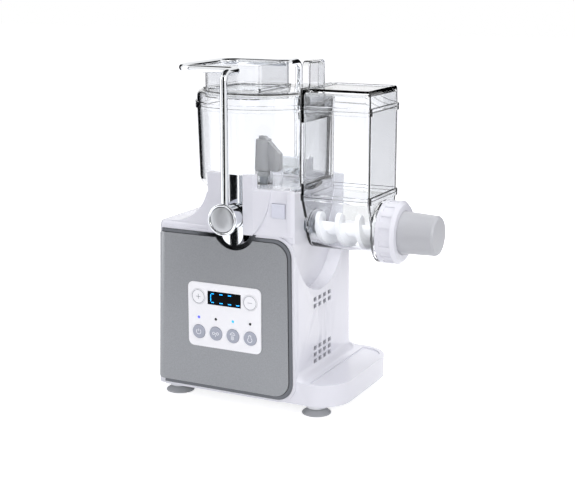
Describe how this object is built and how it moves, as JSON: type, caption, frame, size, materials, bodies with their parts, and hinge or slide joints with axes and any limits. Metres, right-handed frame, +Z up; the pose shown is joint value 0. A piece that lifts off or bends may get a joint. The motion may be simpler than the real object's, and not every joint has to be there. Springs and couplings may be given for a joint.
{
  "type": "electric pasta maker",
  "caption": "Electric pasta maker with a clear kneading bowl, a clear extrusion chamber with an outlet nozzle and a swinging wire bail.",
  "frame": {"origin": "centre of the bounding box at table height, under the suction feet", "axes": "+Z up, +X along the extrusion axis towards the outlet nozzle, +Y away from the front panel"},
  "size_m": [0.2658, 0.1712, 0.325],
  "materials": {
    "white_gloss": "smooth moulded",
    "white_satin": "satin moulded",
    "silver_panel": "fine silver lacquer",
    "chrome": "polished plating",
    "grey_plastic": "satin moulded",
    "lilac_plastic": "satin moulded",
    "clear_plastic": "clear moulded",
    "black_window": "smoked window",
    "lamp_blue": "translucent rods",
    "steel": "turned or pressed",
    "brass": "machined",
    "board_green": "solder mask",
    "black_plastic": "moulded",
    "grey_rubber": "moulded"
  },
  "bodies": {
    "housing": {"main_housing": "white_gloss", "base_plate": "white_satin", "front_panel": "silver_panel", "panel_trim": "chrome", "control_fascia": "white_satin", "display_window": "black_window", "status_lamps": "lamp_blue", "control_board": "board_green", "power_board": "board_green", "drive_motor": "steel", "motor_bracket": "steel", "gearbox_inner_plate": "steel", "gearbox_outer_plate": "steel", "gearbox_spacers": "steel", "bearing_bushes": "brass", "knead_bush": "brass", "kneading_bowl": "clear_plastic", "bowl_seal": "grey_rubber", "chamber_box": "clear_plastic", "chamber_trough": "clear_plastic", "outlet_seal": "grey_rubber", "shaping_nozzle": "white_satin", "bail_guide_front": "chrome", "bail_guide_rear": "chrome", "interlock_switch": "black_plastic", "suction_feet": "grey_rubber", "base_screws": "steel", "cord_gland": "black_plastic"},
    "bail": {"bail_handle": "chrome", "bail_cap_front": "chrome", "bail_cap_rear": "chrome"},
    "kneader": {"knead_shaft": "steel", "knead_bevel": "steel", "kneading_paddle": "grey_plastic"},
    "drive": {"drive_shaft": "steel", "drive_gear": "steel", "drive_bevel": "steel", "drive_coupling": "steel", "auger": "white_satin"},
    "counter": {"counter_shaft": "steel", "counter_gear": "brass", "counter_pinion": "steel"},
    "rotor": {"motor_shaft": "steel", "motor_pinion": "brass", "cooling_fan": "grey_plastic"},
    "bowl_cover": {"bowl_lid": "clear_plastic"},
    "cup": {"filler_cup": "clear_plastic"},
    "shutter": {"transfer_shutter": "clear_plastic"},
    "chamber_cover": {"chamber_lid": "clear_plastic"},
    "nut": {"ring_nut": "white_gloss"},
    "release": {"release_button": "lilac_plastic"},
    "plus_key": {"plus_key": "white_satin"},
    "minus_key": {"minus_key": "white_satin"},
    "power_button": {"power_button": "lilac_plastic"},
    "knead_button": {"knead_button": "lilac_plastic"},
    "extrude_button": {"extrude_button": "lilac_plastic"},
    "mode_button": {"mode_button": "lilac_plastic"}
  },
  "joints": [
    {"name": "bail_swing", "type": "hinge", "parent": "housing", "child": "bail", "pos_m": [-0.04445, -0.003, 0.1855], "axis": [0, -1, 0], "range_deg": [0, 90]},
    {"name": "drive_spin", "type": "hinge", "parent": "housing", "child": "drive", "pos_m": [-0.02445, -0.003, 0.1717], "axis": [1, 0, 0], "continuous": true},
    {"name": "knead_spin", "type": "hinge", "parent": "housing", "child": "kneader", "pos_m": [-0.04445, -0.003, 0.2045], "axis": [0, 0, 1], "continuous": true},
    {"name": "counter_spin", "type": "hinge", "parent": "housing", "child": "counter", "pos_m": [-0.02445, -0.003, 0.1367], "axis": [1, 0, 0], "continuous": true},
    {"name": "motor_spin", "type": "hinge", "parent": "housing", "child": "rotor", "pos_m": [-0.02445, -0.003, 0.1067], "axis": [1, 0, 0], "continuous": true},
    {"name": "bowl_lid_lift", "type": "slide", "parent": "housing", "child": "bowl_cover", "axis": [0, 0, 1], "range_m": [0, 0.014]},
    {"name": "filler_cup_lift", "type": "slide", "parent": "bowl_cover", "child": "cup", "axis": [0, 0, 1], "range_m": [0, 0.03]},
    {"name": "shutter_lift", "type": "slide", "parent": "housing", "child": "shutter", "axis": [0, 0, 1], "range_m": [0, 0.06]},
    {"name": "chamber_lid_lift", "type": "slide", "parent": "housing", "child": "chamber_cover", "axis": [0, 0, 1], "range_m": [0, 0.04]},
    {"name": "ring_nut_turn", "type": "hinge", "parent": "housing", "child": "nut", "pos_m": [0.08185, -0.003, 0.1717], "axis": [1, 0, 0], "range_deg": [0, 60]},
    {"name": "plus_key_press", "type": "slide", "parent": "housing", "child": "plus_key", "axis": [0, 1, 0], "range_m": [0, 0.0006], "stiffness_N_per_m": 500, "springref_m": -0.0006},
    {"name": "minus_key_press", "type": "slide", "parent": "housing", "child": "minus_key", "axis": [0, 1, 0], "range_m": [0, 0.0006], "stiffness_N_per_m": 500, "springref_m": -0.0006},
    {"name": "power_press", "type": "slide", "parent": "housing", "child": "power_button", "axis": [0, 1, 0], "range_m": [0, 0.0006], "stiffness_N_per_m": 500, "springref_m": -0.0006},
    {"name": "knead_press", "type": "slide", "parent": "housing", "child": "knead_button", "axis": [0, 1, 0], "range_m": [0, 0.0006], "stiffness_N_per_m": 500, "springref_m": -0.0006},
    {"name": "extrude_press", "type": "slide", "parent": "housing", "child": "extrude_button", "axis": [0, 1, 0], "range_m": [0, 0.0006], "stiffness_N_per_m": 500, "springref_m": -0.0006},
    {"name": "mode_press", "type": "slide", "parent": "housing", "child": "mode_button", "axis": [0, 1, 0], "range_m": [0, 0.0006], "stiffness_N_per_m": 500, "springref_m": -0.0006},
    {"name": "release_press", "type": "slide", "parent": "housing", "child": "release", "axis": [0, 1, 0], "range_m": [0, 0.0008], "stiffness_N_per_m": 600, "springref_m": -0.0008}
  ],
  "couplings": [
    {"joint": "knead_spin", "follows": "drive_spin", "ratio": -1},
    {"joint": "counter_spin", "follows": "drive_spin", "ratio": -3.6667},
    {"joint": "motor_spin", "follows": "drive_spin", "ratio": 14.667}
  ]
}
